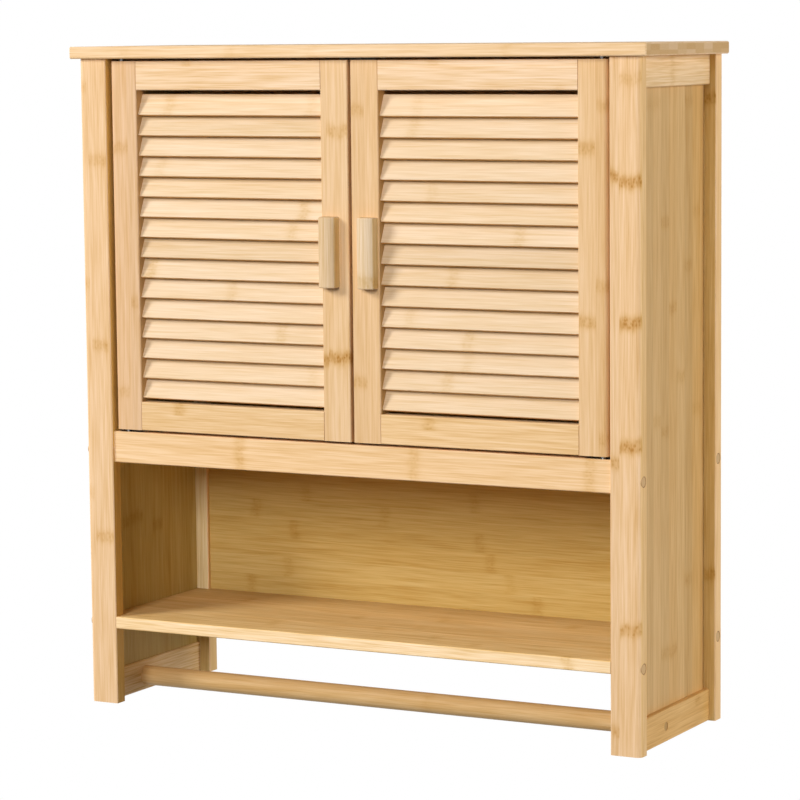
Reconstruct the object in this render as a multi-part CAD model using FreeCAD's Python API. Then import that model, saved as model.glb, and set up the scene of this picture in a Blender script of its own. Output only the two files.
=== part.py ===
"""Wall-hung bathroom cabinet in bamboo: two louvred doors over an open bay, with a towel bar below."""
import FreeCAD, Part
import math
import os

V = FreeCAD.Vector

# All sizes are in millimetres. X runs to the right, Y to the wall and Z up.

# Whole cabinet, over the posts
cabinet_width = 606.5
cabinet_depth = 194.0
post_height = 648.0

# Top panel
top_thickness = 12.0
top_side_overhang = 8.0
top_front_overhang = 5.3
top_edge_ease = 1.2

# Posts
post_width = 31.0
post_thickness = 14.0
post_round = 5.0
stick_ease = 0.8

# Side frames: a rail at the foot and the head, and a thin panel in grooves
foot_rail_height = 31.0
head_rail_height = 29.0
side_rail_thickness = 12.0
side_rail_setback = 6.5
side_rail_lift = 0.2
side_panel_thickness = 4.0
side_panel_setback = 12.5
groove_wall = 0.8
rail_groove_depth = 5.0
tenon_inset = 7.0

# Back panels, in grooves of the back posts and of the boards above and below them
back_panel_thickness = 4.0
back_panel_recess = 4.0
back_groove_depth = 6.0
board_groove_depth = 3.0

# Front rail and the cabinet's floor behind it
front_rail_foot = 245.8
front_rail_height = 31.2
front_rail_thickness = 15.0
front_rail_setback = 3.0
floor_thickness = 12.0
floor_above_rail_foot = 6.0
floor_tongue_thickness = 6.0
floor_tongue_depth = 5.0

# Open shelf, and the shelf behind the doors on its two cleats
open_shelf_foot = 76.8
open_shelf_thickness = 12.0
inner_shelf_foot = 455.0
inner_shelf_thickness = 10.0
inner_shelf_setback = 12.0
cleat_height = 15.0
cleat_thickness = 12.0

# Hanging rail, with the two holes for the wall screws
hanging_rail_height = 40.0
hanging_hole_radius = 2.75
hanging_hole_spacing = 400.0

# Towel bar
towel_bar_radius = 10.0
towel_bar_from_wall = 120.0
towel_bar_height = 15.0
towel_spigot_radius = 4.2

# Doors
door_setback = 3.4
door_thickness = 17.0
door_side_gap = 3.5
door_centre_gap = 3.2
door_head_gap = 2.5
door_foot_gap = 2.5
stile_width = 29.7
door_rail_height = 28.5
hinge_edge_round = 4.0
door_tenon_length = 10.0
door_tenon_thickness = 6.0
door_tenon_shoulder = 5.0

# Louvre slats, each housed in slanted pockets of the two stiles
slat_count = 15
slat_width = 22.3
slat_thickness = 3.6
slat_tilt = 24.5
slat_setback = 3.2
slat_head_gap = 3.8
slat_foot_gap = 2.7
slat_housing = 5.0
slat_edge_ease = 0.5

# Handles
handle_width = 17.5
handle_length = 68.0
handle_depth = 13.0
handle_crown = 3.0
handle_edge_round = 2.2
handle_inset = 19.4

# Door pivots: a pin in each end of the hinge stile turns in a plate let into the wood
pivot_inset = 8.5
pivot_pin_radius = 2.5
pivot_pin_grip = 15.0
pivot_plate_length = 26.0
pivot_plate_margin = 8.0
pivot_plate_width = 10.0
pivot_plate_thickness = 4.0
pivot_end_play = 0.2

# Magnetic catch under the top panel, and the strike plates on the doors
catch_width = 42.0
catch_depth = 18.0
catch_height = 14.0
magnet_width = 13.0
magnet_height = 6.0
magnet_depth = 12.0
magnet_proud = 1.0
magnet_from_middle = 10.0
catch_gap = 0.4
strike_width = 16.0
strike_height = 11.0
strike_thickness = 1.2
strike_below_head = 1.5

# Screws, their plugs and the pegs under the top panel
screw_radius = 2.0
screw_head_flats = 7.0
screw_head_height = 2.6
screw_bite = 25.0
plug_radius = 5.2
plug_thickness = 3.0
plug_recess = 0.3
counterbore_depth = 6.0
peg_width = 8.0
peg_thickness = 5.0
peg_in_top = 8.0
peg_in_post = 16.0
peg_from_side = 3.0

# Clearances: a panel's faces, a piece's end in its groove or notch, a drilled hole, a turning pin
panel_fit = 0.1
end_room = 0.4
drill_fit = 0.05
running_fit = 0.05

# Planes and levels that follow from the sizes
post_out = cabinet_width / 2
post_in = post_out - post_width
front = -cabinet_depth
front_post_back = front + post_thickness
front_post_mid = front + post_thickness / 2
back_post_front = -post_thickness
back_post_mid = -post_thickness / 2
groove_depth = post_thickness / 2 - screw_radius - groove_wall

side_rail_out = post_out - side_rail_setback
side_rail_in = side_rail_out - side_rail_thickness
side_panel_out = post_out - side_panel_setback
side_panel_in = side_panel_out - side_panel_thickness
side_groove = (side_panel_in - panel_fit, side_panel_out + panel_fit)
foot_rail = (side_rail_lift, side_rail_lift + foot_rail_height)
head_rail = (post_height - head_rail_height, post_height)
board_out = side_panel_in - end_room

back_panel_front = back_post_front + back_panel_recess
back_panel_back = back_panel_front + back_panel_thickness
back_groove = (back_panel_front - panel_fit, back_panel_back + panel_fit)

front_rail_head = front_rail_foot + front_rail_height
front_rail_front = front + front_rail_setback
front_rail_back = front_rail_front + front_rail_thickness
floor_foot = front_rail_foot + floor_above_rail_foot
floor_head = floor_foot + floor_thickness
floor_mid = floor_foot + floor_thickness / 2
open_shelf_head = open_shelf_foot + open_shelf_thickness
open_shelf_mid = open_shelf_foot + open_shelf_thickness / 2
inner_shelf_head = inner_shelf_foot + inner_shelf_thickness
hanging_rail_foot = post_height - hanging_rail_height
hanging_level = post_height - hanging_rail_height / 2

door_front = front + door_setback
door_back = door_front + door_thickness
door_mid = door_front + door_thickness / 2
door_out = post_in - door_side_gap
door_in = door_centre_gap / 2
door_foot = front_rail_head + door_foot_gap
door_head = post_height - door_head_gap
louvre_foot = door_foot + door_rail_height
louvre_head = door_head - door_rail_height
louvre_in = door_in + stile_width
louvre_out = door_out - stile_width
pivot_x = door_out - pivot_inset
foot_pivot = (front_rail_head - pivot_plate_thickness, front_rail_head)
head_pivot = (post_height, post_height + pivot_plate_thickness)
handle_x = door_in + handle_inset
handle_level = (door_foot + door_head) / 2

# The part's origin: midway between the wall-screw holes, on the wall
datum = V(0, 0, hanging_level)

LEFT = V(-1, 0, 0)
RIGHT = V(1, 0, 0)
TO_FRONT = V(0, -1, 0)
UP = V(0, 0, 1)
DOWN = V(0, 0, -1)
SHARP = (0, 0, 0, 0)
EASED = (stick_ease,) * 4


def block(x, y, z):
    """A box from its low and high values on each axis."""
    return Part.makeBox(x[1] - x[0], y[1] - y[0], z[1] - z[0], V(x[0], y[0], z[0]))


def bar(axis, span, u, v, eases=SHARP, rounded=()):
    """A stick along an axis, with each long edge sharp, cut flat or rounded over.

    The section's u and v are the two other axes in X, Y, Z order. The eases go round from
    the corner where both are low, along u first, and rounded names the corners that are arcs.
    """
    place = {
        "x": lambda a, b: V(span[0], a, b),
        "y": lambda a, b: V(a, span[0], b),
        "z": lambda a, b: V(a, b, span[0]),
    }[axis]
    length = span[1] - span[0]
    along = {"x": V(length, 0, 0), "y": V(0, length, 0), "z": V(0, 0, length)}[axis]
    corners = [(u[0], v[0]), (u[1], v[0]), (u[1], v[1]), (u[0], v[1])]
    steps = [(1, 0), (0, 1), (-1, 0), (0, -1)]
    arc_inset = 1 - math.sqrt(0.5)
    stations = []
    for (a, b), arriving, leaving, ease in zip(corners, steps[-1:] + steps[:-1], steps, eases):
        start = place(a - arriving[0] * ease, b - arriving[1] * ease)
        end = place(a + leaving[0] * ease, b + leaving[1] * ease)
        turn_a = (leaving[0] - arriving[0]) * ease * arc_inset
        turn_b = (leaving[1] - arriving[1]) * ease * arc_inset
        stations.append((start, place(a + turn_a, b + turn_b), end))
    edges = []
    for index, (start, middle, end) in enumerate(stations):
        if index in rounded:
            edges.append(Part.Arc(start, middle, end).toShape())
        elif eases[index] > 0:
            edges.append(Part.LineSegment(start, end).toShape())
        next_start = stations[(index + 1) % len(stations)][0]
        edges.append(Part.LineSegment(end, next_start).toShape())
    return Part.Face(Part.Wire(edges)).extrude(along)


def plate(points, z):
    """A flat board cut to an outline in plan."""
    outline = [V(x, y, z[0]) for x, y in points]
    face = Part.Face(Part.makePolygon(outline + outline[:1]))
    return face.extrude(V(0, 0, z[1] - z[0]))


def turned(profile, seat, direction):
    """A turned piece or a drilled hole: radius and height pairs, spun about a direction from its seat."""
    outline = [V(radius, 0, height) for radius, height in profile]
    face = Part.Face(Part.makePolygon(outline + outline[:1]))
    spun = face.revolve(V(0, 0, 0), UP, 360)
    spun.Placement = FreeCAD.Placement(seat, FreeCAD.Rotation(UP, direction))
    return spun


def drilling(radius, depth, seat, direction):
    """The round tool that drills a plain hole."""
    return Part.makeCylinder(radius, depth, seat, direction)


def mirrored(shape):
    """The same piece for the cabinet's left side."""
    return shape.mirror(V(0, 0, 0), RIGHT)


def both_sides(shape):
    """A right-hand piece and its left-hand twin."""
    return [shape, mirrored(shape)]


def joined(body, additions):
    """One piece of wood made from a body and what stands out of it."""
    return body.fuse(additions).removeSplitter()


def plugged_screw(seat):
    """A hex-head screw at the bottom of a post's counterbore, through the post and into a board."""
    floor = seat + LEFT * counterbore_depth
    corner = screw_head_flats / math.sqrt(3)
    turns = [math.radians(60 * index) for index in range(7)]
    outline = [floor + V(0, corner * math.cos(turn), corner * math.sin(turn)) for turn in turns]
    head = Part.Face(Part.makePolygon(outline)).extrude(RIGHT * screw_head_height)
    length = post_width - counterbore_depth + screw_bite
    return joined(head, [drilling(screw_radius, length, floor, LEFT)])


def board_pilots(y, level):
    """The holes in a board's two ends for the screws through a pair of posts."""
    seat = V(post_in, y, level)
    return both_sides(drilling(screw_radius + drill_fit, screw_bite + end_room, seat, LEFT))


def plug(seat):
    """A wooden plug that covers a screw's head, just below the post's outer face."""
    return drilling(plug_radius, plug_thickness, seat + LEFT * plug_recess, LEFT)


def plugged_hole(seat):
    """A counterbore for a plug and a screw's head, and the shank's hole through the rest of the post."""
    counterbore = drilling(plug_radius + panel_fit, counterbore_depth, seat, LEFT)
    return counterbore.fuse(drilling(screw_radius + drill_fit, post_width, seat, LEFT))


def frame_screw_seats(y):
    """Where the plugged screws enter a right-hand post: at the cabinet's floor and at the open shelf."""
    return [V(post_out, y, level) for level in (floor_mid, open_shelf_mid)]


def top_peg(y, room):
    """The flat peg between a right-hand post and the top panel, or its slot where there is room round it."""
    middle = post_out - peg_from_side - peg_width / 2
    return block(
        (middle - peg_width / 2 - room, middle + peg_width / 2 + room),
        (y - peg_thickness / 2 - room, y + peg_thickness / 2 + room),
        (post_height - peg_in_post - room, post_height + peg_in_top + room),
    )


def front_post():
    """The right front post, with its outer front edge rounded over."""
    eases = (stick_ease, post_round, stick_ease, stick_ease)
    post = bar("z", (0, post_height), (post_in, post_out), (front, front_post_back), eases, rounded=(1,))
    groove = block(
        side_groove,
        (front_post_back - groove_depth, front_post_back),
        (foot_rail[0] + tenon_inset, post_height),
    )
    holes = [plugged_hole(seat) for seat in frame_screw_seats(front_post_mid)]
    return post.cut([groove, top_peg(front_post_mid, panel_fit)] + holes)


def back_post():
    """The right back post, grooved for the side panel and for the back panels."""
    eases = (stick_ease, stick_ease, 0, 0)
    post = bar("z", (0, post_height), (post_in, post_out), (back_post_front, 0), eases)
    side_slot = block(
        side_groove,
        (back_post_front, back_post_front + groove_depth),
        (foot_rail[0] + tenon_inset, post_height),
    )
    back_slot = block(
        (post_in, post_in + back_groove_depth),
        back_groove,
        (open_shelf_head - board_groove_depth, post_height),
    )
    holes = [plugged_hole(seat) for seat in frame_screw_seats(back_post_mid)]
    return post.cut([side_slot, back_slot, top_peg(back_post_mid, panel_fit)] + holes)


def side_rail(levels, groove_levels):
    """A right side rail: stub tenons fit the posts' grooves, and its own groove holds the panel."""
    rail = bar("y", (front_post_back, back_post_front), (side_rail_in, side_rail_out), levels, EASED)
    reach = groove_depth - end_room
    tenon = block(
        (side_panel_in, side_panel_out),
        (front_post_back - reach, back_post_front + reach),
        (levels[0] + tenon_inset, levels[1] - tenon_inset),
    )
    groove = block(side_groove, (front_post_back, back_post_front), groove_levels)
    return joined(rail, [tenon]).cut(groove)


def foot_side_rail():
    """The right bottom rail, bored through for the towel bar's spigot."""
    rail = side_rail(foot_rail, (foot_rail[1] - rail_groove_depth, foot_rail[1]))
    seat = V(side_rail_in, -towel_bar_from_wall, towel_bar_height)
    return rail.cut(drilling(towel_spigot_radius + panel_fit, side_rail_thickness, seat, RIGHT))


def head_side_rail():
    """The right top rail."""
    return side_rail(head_rail, (head_rail[0], head_rail[0] + rail_groove_depth))


def side_panel():
    """The thin right side panel, held all round in grooves."""
    reach = groove_depth - end_room
    rail_reach = rail_groove_depth - end_room
    return block(
        (side_panel_in, side_panel_out),
        (front_post_back - reach, back_post_front + reach),
        (foot_rail[1] - rail_reach, head_rail[0] + rail_reach),
    )


def top_panel():
    """The top panel, eased on every edge, with slots below for the pegs and the pivot plates."""
    side = post_out + top_side_overhang
    levels = (post_height, post_height + top_thickness)
    panel = block((-side, side), (front - top_front_overhang, 0), levels)
    panel = panel.makeChamfer(top_edge_ease, panel.Edges)
    tools = both_sides(pivot_form(*head_pivot, 0))
    for y in (front_post_mid, back_post_mid):
        tools += both_sides(top_peg(y, panel_fit))
    return panel.cut(tools)


def front_rail():
    """The rail under the doors, grooved at the back for the floor's tongue."""
    ease = (stick_ease, 0, 0, stick_ease)
    levels = (front_rail_foot, front_rail_head)
    rail = bar("x", (-post_in, post_in), (front_rail_front, front_rail_back), levels, ease)
    half_tongue = floor_tongue_thickness / 2 + panel_fit
    groove = block(
        (-post_in, post_in),
        (front_rail_back - floor_tongue_depth - end_room, front_rail_back),
        (floor_mid - half_tongue, floor_mid + half_tongue),
    )
    tools = [groove]
    tools += both_sides(pivot_form(*foot_pivot, 0))
    tools += board_pilots(front_post_mid, floor_mid)
    return rail.cut(tools)


def back_panel_groove(levels):
    """The groove across a board that takes a back panel's edge."""
    return block((-post_in, post_in), back_groove, levels)


def cabinet_floor():
    """The floor behind the doors: it reaches back between the posts, and its tongue enters the front rail."""
    notch = back_post_front - end_room
    outline = [
        (-board_out, front_rail_back),
        (board_out, front_rail_back),
        (board_out, notch),
        (post_in, notch),
        (post_in, 0),
        (-post_in, 0),
        (-post_in, notch),
        (-board_out, notch),
    ]
    half_tongue = floor_tongue_thickness / 2
    tongue = block(
        (-post_in + end_room, post_in - end_room),
        (front_rail_back - floor_tongue_depth, front_rail_back),
        (floor_mid - half_tongue, floor_mid + half_tongue),
    )
    tools = [
        back_panel_groove((floor_head - board_groove_depth, floor_head)),
        back_panel_groove((floor_foot, floor_foot + board_groove_depth)),
    ]
    tools += board_pilots(back_post_mid, floor_mid)
    return joined(plate(outline, (floor_foot, floor_head)), [tongue]).cut(tools)


def open_shelf():
    """The open shelf, notched round all four posts and eased along its front edge."""
    front_notch = front_post_back + end_room
    back_notch = back_post_front - end_room
    outline = [
        (-post_in, front),
        (post_in, front),
        (post_in, front_notch),
        (board_out, front_notch),
        (board_out, back_notch),
        (post_in, back_notch),
        (post_in, 0),
        (-post_in, 0),
        (-post_in, back_notch),
        (-board_out, back_notch),
        (-board_out, front_notch),
        (-post_in, front_notch),
    ]
    shelf = plate(outline, (open_shelf_foot, open_shelf_head))
    front_edges = [
        edge
        for edge in shelf.Edges
        if edge.BoundBox.YMax < front + stick_ease and edge.BoundBox.XLength > open_shelf_thickness
    ]
    shelf = shelf.makeChamfer(stick_ease, front_edges)
    tools = [back_panel_groove((open_shelf_head - board_groove_depth, open_shelf_head))]
    for y in (front_post_mid, back_post_mid):
        tools += board_pilots(y, open_shelf_mid)
    return shelf.cut(tools)


def back_panel(levels):
    """A back panel between two boards, with its edges in their grooves and in the posts'."""
    side = post_in + back_groove_depth - end_room
    reach = board_groove_depth - end_room
    return block((-side, side), (back_panel_front, back_panel_back), (levels[0] - reach, levels[1] + reach))


def hanging_rail():
    """The rail that carries the cabinet: tenoned into the back posts and bored for two wall screws."""
    levels = (hanging_rail_foot, post_height)
    rail = bar("x", (-post_in, post_in), (back_post_front, 0), levels, (stick_ease, 0, 0, 0))
    side = post_in + back_groove_depth - end_room
    tenon = block(
        (-side, side),
        (back_panel_front, back_panel_back),
        (levels[0] + tenon_inset, levels[1] - tenon_inset),
    )
    hole = drilling(
        hanging_hole_radius,
        post_thickness,
        V(hanging_hole_spacing / 2, 0, hanging_level),
        TO_FRONT,
    )
    groove = back_panel_groove((hanging_rail_foot, hanging_rail_foot + board_groove_depth))
    return joined(rail, [tenon]).cut([groove] + both_sides(hole))


def shelf_cleat():
    """The right cleat under the inner shelf, fitted between the posts against the side panel."""
    return bar(
        "y",
        (front_post_back, back_post_front),
        (side_panel_in - cleat_thickness, side_panel_in),
        (inner_shelf_foot - cleat_height, inner_shelf_foot),
        (stick_ease, 0, 0, 0),
    )


def inner_shelf():
    """The loose shelf on the cleats behind the doors."""
    return bar(
        "x",
        (-board_out, board_out),
        (door_back + inner_shelf_setback, back_post_front - end_room),
        (inner_shelf_foot, inner_shelf_head),
        (stick_ease, 0, 0, stick_ease),
    )


def towel_bar():
    """The round bar between the bottom side rails, with a spigot through each of them."""
    spigot = side_rail_thickness - plug_recess
    end = side_rail_in + spigot
    profile = [
        (0, 0),
        (towel_spigot_radius, 0),
        (towel_spigot_radius, spigot),
        (towel_bar_radius, spigot),
        (towel_bar_radius, 2 * end - spigot),
        (towel_spigot_radius, 2 * end - spigot),
        (towel_spigot_radius, 2 * end),
        (0, 2 * end),
    ]
    return turned(profile, V(-end, -towel_bar_from_wall, towel_bar_height), RIGHT)


def pivot_form(low, high, room):
    """The block of a right-hand pivot plate, smaller all round by room. It reaches further in than out."""
    out = pivot_x + pivot_plate_margin
    half_width = pivot_plate_width / 2 - room
    return block(
        (out - pivot_plate_length + room, out - room),
        (door_mid - half_width, door_mid + half_width),
        (low, high),
    )


def pivot_plate(low, high):
    """A right-hand pivot plate, flush with the wood and bored for the pin to turn in."""
    bore = drilling(pivot_pin_radius + running_fit, pivot_plate_thickness, V(pivot_x, door_mid, low), UP)
    return pivot_form(low, high, panel_fit).cut(bore)


def pivot_pin(level, gap, direction):
    """A pin that grips the hinge stile's end and crosses the gap into the pivot plate."""
    reach = gap + pivot_plate_thickness - pivot_end_play
    start = V(pivot_x, door_mid, level) - direction * pivot_pin_grip
    return drilling(pivot_pin_radius, pivot_pin_grip + reach, start, direction)


def slat_form(x, room, ease):
    """A slat that leans back from its lower front corner on the X axis, larger all round by room."""
    section = (-room, slat_thickness + room), (-room, slat_width + room)
    stick = bar("x", x, *section, (ease,) * 4)
    stick.rotate(V(0, 0, 0), RIGHT, -slat_tilt)
    return stick


def slat_places():
    """The places of the slats' lower front corners, evenly spaced up the louvre."""
    tilt = math.radians(slat_tilt)
    lowest = louvre_foot + slat_foot_gap + slat_thickness * math.sin(tilt)
    highest = louvre_head - slat_head_gap - slat_width * math.cos(tilt)
    pitch = (highest - lowest) / (slat_count - 1)
    return [V(0, door_front + slat_setback, lowest + index * pitch) for index in range(slat_count)]


def slat_row(form):
    """A slat, or the pocket for one, at every place up the louvre."""
    return [form.translated(place) for place in slat_places()]


def slat_pockets(x):
    """The slanted pockets that house the slats' ends in a stile."""
    return slat_row(slat_form(x, panel_fit, 0))


def door_rail(levels):
    """A rail between the stiles of the right door, with a tenon at each end."""
    rail = bar("x", (louvre_in, louvre_out), (door_front, door_back), levels, EASED)
    reach = door_tenon_length - end_room
    half = door_tenon_thickness / 2
    tenon = block(
        (louvre_in - reach, louvre_out + reach),
        (door_mid - half, door_mid + half),
        (levels[0] + door_tenon_shoulder, levels[1] - door_tenon_shoulder),
    )
    return joined(rail, [tenon])


def stile_mortises(x):
    """The mortises of a stile for the tenons of both rails."""
    half = door_tenon_thickness / 2 + panel_fit
    shoulder = door_tenon_shoulder - panel_fit
    rails = [(door_foot, louvre_foot), (louvre_head, door_head)]
    return [
        block(x, (door_mid - half, door_mid + half), (low + shoulder, high - shoulder)) for low, high in rails
    ]


def hinge_stile():
    """The right door's hinge stile: rounded over at its outer edge, and drilled for the pivot pins."""
    eases = (stick_ease, hinge_edge_round, hinge_edge_round, stick_ease)
    section = (louvre_out, door_out), (door_front, door_back)
    stile = bar("z", (door_foot, door_head), *section, eases, rounded=(1, 2))
    tools = stile_mortises((louvre_out, louvre_out + door_tenon_length))
    tools += slat_pockets((louvre_out, louvre_out + slat_housing))
    for level, direction in ((door_foot, UP), (door_head, DOWN)):
        seat = V(pivot_x, door_mid, level)
        tools.append(drilling(pivot_pin_radius + drill_fit, pivot_pin_grip, seat, direction))
    return stile.cut(tools)


def meeting_stile():
    """The right door's meeting stile."""
    stile = bar("z", (door_foot, door_head), (door_in, louvre_in), (door_front, door_back), EASED)
    tools = stile_mortises((louvre_in - door_tenon_length, louvre_in))
    tools += slat_pockets((louvre_in - slat_housing, louvre_in))
    return stile.cut(tools)


def louvre_slats():
    """The slats of the right door, with their ends in the stiles' pockets."""
    reach = slat_housing - end_room
    return slat_row(slat_form((louvre_in - reach, louvre_out + reach), 0, slat_edge_ease))


def handle():
    """A straight wooden pull with a crowned front."""
    half = handle_width / 2
    foot = handle_level - handle_length / 2
    shoulder = door_front - handle_depth + handle_crown
    left = handle_x - half
    right = handle_x + half
    crown = Part.Arc(
        V(left, shoulder, foot),
        V(handle_x, door_front - handle_depth, foot),
        V(right, shoulder, foot),
    )
    edges = [
        crown.toShape(),
        Part.LineSegment(V(right, shoulder, foot), V(right, door_front, foot)).toShape(),
        Part.LineSegment(V(right, door_front, foot), V(left, door_front, foot)).toShape(),
        Part.LineSegment(V(left, door_front, foot), V(left, shoulder, foot)).toShape(),
    ]
    pull = Part.Face(Part.Wire(edges)).extrude(V(0, 0, handle_length))
    long_edges = [
        edge
        for edge in pull.Edges
        if edge.BoundBox.ZLength > handle_width and edge.BoundBox.YMax < door_front - handle_crown
    ]
    pull = pull.makeFillet(handle_edge_round, long_edges)
    ends = [
        edge
        for edge in pull.Edges
        if edge.BoundBox.ZLength < handle_width and edge.BoundBox.YMin < door_front - handle_crown
    ]
    return pull.makeChamfer(stick_ease, ends)


def strike_plate():
    """The thin steel plate on the right door's back that the magnet holds."""
    half = strike_width / 2
    head = door_head - strike_below_head
    return block(
        (magnet_from_middle - half, magnet_from_middle + half),
        (door_back, door_back + strike_thickness),
        (head - strike_height, head),
    )


def magnet(room):
    """The right magnet of the catch, or its pocket where there is room round it."""
    face = door_back + strike_thickness + catch_gap
    middle = post_height - catch_height / 2
    return block(
        (magnet_from_middle - magnet_width / 2 - room, magnet_from_middle + magnet_width / 2 + room),
        (face, face + magnet_depth + room),
        (middle - magnet_height / 2 - room, middle + magnet_height / 2 + room),
    )


def catch_body():
    """The catch's housing under the top panel, with a pocket for each magnet."""
    face = door_back + strike_thickness + catch_gap + magnet_proud
    half = catch_width / 2
    section = (-half, half), (face, face + catch_depth)
    housing = bar("z", (post_height - catch_height, post_height), *section, EASED)
    return housing.cut(both_sides(magnet(panel_fit)))


def right_door():
    """The pieces of the right door, by name."""
    return {
        "door_hinge_stile": [hinge_stile()],
        "door_meeting_stile": [meeting_stile()],
        "door_top_rail": [door_rail((louvre_head, door_head))],
        "door_bottom_rail": [door_rail((door_foot, louvre_foot))],
        "door_slats": louvre_slats(),
        "door_handle": [handle()],
        "door_pivot_pins": [
            pivot_pin(door_foot, door_foot_gap, DOWN),
            pivot_pin(door_head, door_head_gap, UP),
        ],
        "door_strike_plate": [strike_plate()],
    }


def right_frame():
    """The pieces of the right side frame, by name."""
    return {
        "front_post": [front_post()],
        "back_post": [back_post()],
        "top_side_rail": [head_side_rail()],
        "bottom_side_rail": [foot_side_rail()],
        "side_panel": [side_panel()],
        "shelf_cleat": [shelf_cleat()],
    }


def middle_pieces():
    """The boards and rails that tie the two side frames together, by name."""
    return {
        "top_panel": [top_panel()],
        "front_rail": [front_rail()],
        "cabinet_floor": [cabinet_floor()],
        "open_shelf": [open_shelf()],
        "upper_back_panel": [back_panel((floor_head, hanging_rail_foot))],
        "lower_back_panel": [back_panel((open_shelf_head, floor_foot))],
        "hanging_rail": [hanging_rail()],
        "inner_shelf": [inner_shelf()],
        "towel_bar": [towel_bar()],
        "catch_body": [catch_body()],
    }


def fittings():
    """The screws, plugs, pegs, pivot plates and magnets of both sides, by name."""
    post_mids = (front_post_mid, back_post_mid)
    seats = [seat for y in post_mids for seat in frame_screw_seats(y)]
    right_hand = {
        "frame_screws": [plugged_screw(seat) for seat in seats],
        "frame_screw_plugs": [plug(seat) for seat in seats],
        "top_pegs": [top_peg(y, 0) for y in post_mids],
        "pivot_plates": [
            pivot_plate(*foot_pivot),
            pivot_plate(*head_pivot),
        ],
        "catch_magnets": [magnet(0)],
    }
    return {name: solids + [mirrored(solid) for solid in solids] for name, solids in right_hand.items()}


def export(name, solids):
    """Writes one node's solids, measured from the datum."""
    shape = solids[0] if len(solids) == 1 else Part.makeCompound(solids)
    shape.translated(datum * -1).exportStep(f"parts/{name}.step")


os.makedirs("parts", exist_ok=True)
nodes = {**middle_pieces(), **fittings()}
for name, solids in {**right_frame(), **right_door()}.items():
    nodes[f"right_{name}"] = solids
    nodes[f"left_{name}"] = [mirrored(solid) for solid in solids]
for name, solids in nodes.items():
    export(name, solids)
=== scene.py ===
"""Bamboo wall cabinet with louvred doors: its finishes, small fasteners, stage and camera."""

import math
from dataclasses import dataclass, replace

import bpy
from bpy.props import FloatProperty, FloatVectorProperty, PointerProperty
from mathutils import Matrix, Vector


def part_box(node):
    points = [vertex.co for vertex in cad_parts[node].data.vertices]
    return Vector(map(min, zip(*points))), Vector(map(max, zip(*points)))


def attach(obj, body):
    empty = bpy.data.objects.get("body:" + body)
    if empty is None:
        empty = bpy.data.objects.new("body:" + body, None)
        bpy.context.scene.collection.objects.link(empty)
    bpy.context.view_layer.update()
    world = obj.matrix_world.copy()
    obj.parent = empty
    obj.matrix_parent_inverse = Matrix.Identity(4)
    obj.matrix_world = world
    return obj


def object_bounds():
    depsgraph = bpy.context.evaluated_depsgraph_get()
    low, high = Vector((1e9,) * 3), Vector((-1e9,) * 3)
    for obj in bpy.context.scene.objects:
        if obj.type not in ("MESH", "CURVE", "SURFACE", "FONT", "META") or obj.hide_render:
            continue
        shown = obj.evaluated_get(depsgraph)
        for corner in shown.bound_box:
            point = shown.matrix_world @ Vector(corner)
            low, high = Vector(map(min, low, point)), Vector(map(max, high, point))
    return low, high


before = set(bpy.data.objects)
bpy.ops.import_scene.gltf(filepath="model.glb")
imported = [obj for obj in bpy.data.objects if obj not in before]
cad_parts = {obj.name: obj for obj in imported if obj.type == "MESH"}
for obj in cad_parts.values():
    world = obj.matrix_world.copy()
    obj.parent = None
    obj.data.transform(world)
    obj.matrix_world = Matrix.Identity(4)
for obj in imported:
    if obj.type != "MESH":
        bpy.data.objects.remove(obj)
cad_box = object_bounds()

bl_info = {
    "name": "Bamboo wall cabinet",
    "version": (1, 0, 0),
    "blender": (4, 5, 0),
    "location": "3D View > Sidebar > Cabinet",
    "description": "Finishes, small fasteners and stage for a bamboo wall cabinet",
    "category": "Object",
}

X, Y, Z = range(3)
MM = 0.001
WHITE = (1.0, 1.0, 1.0)
SIDES = ("left", "right")


def picked(red, green, blue):
    """A colour from the 0 to 255 steps of a colour picker, as the linear values that shaders use."""
    steps = (step / 255 for step in (red, green, blue))
    return tuple(step / 12.92 if step <= 0.04045 else ((step + 0.055) / 1.055) ** 2.4 for step in steps)


def shaded(colour, lightness):
    """A colour made lighter or darker."""
    return tuple(part * lightness for part in colour)


def stain_and_light_tint(colour, cast):
    """A colour under a stain or under painted light and shade, which is given as shares of red, green and
    blue.
    """
    return tuple(part * share_of_part for part, share_of_part in zip(colour, cast))


def tone(name, description, red, green, blue):
    """A colour property."""
    return FloatVectorProperty(
        name=name,
        description=description,
        subtype="COLOR",
        size=3,
        min=0,
        max=1,
        default=picked(red, green, blue),
    )


def length(name, description, default):
    """A length property in metres."""
    return FloatProperty(
        name=name, description=description, default=default, min=0, unit="LENGTH", precision=5
    )


def share(name, description, default):
    """A property without a unit, usually between nothing and one."""
    return FloatProperty(name=name, description=description, default=default, min=0)


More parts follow.
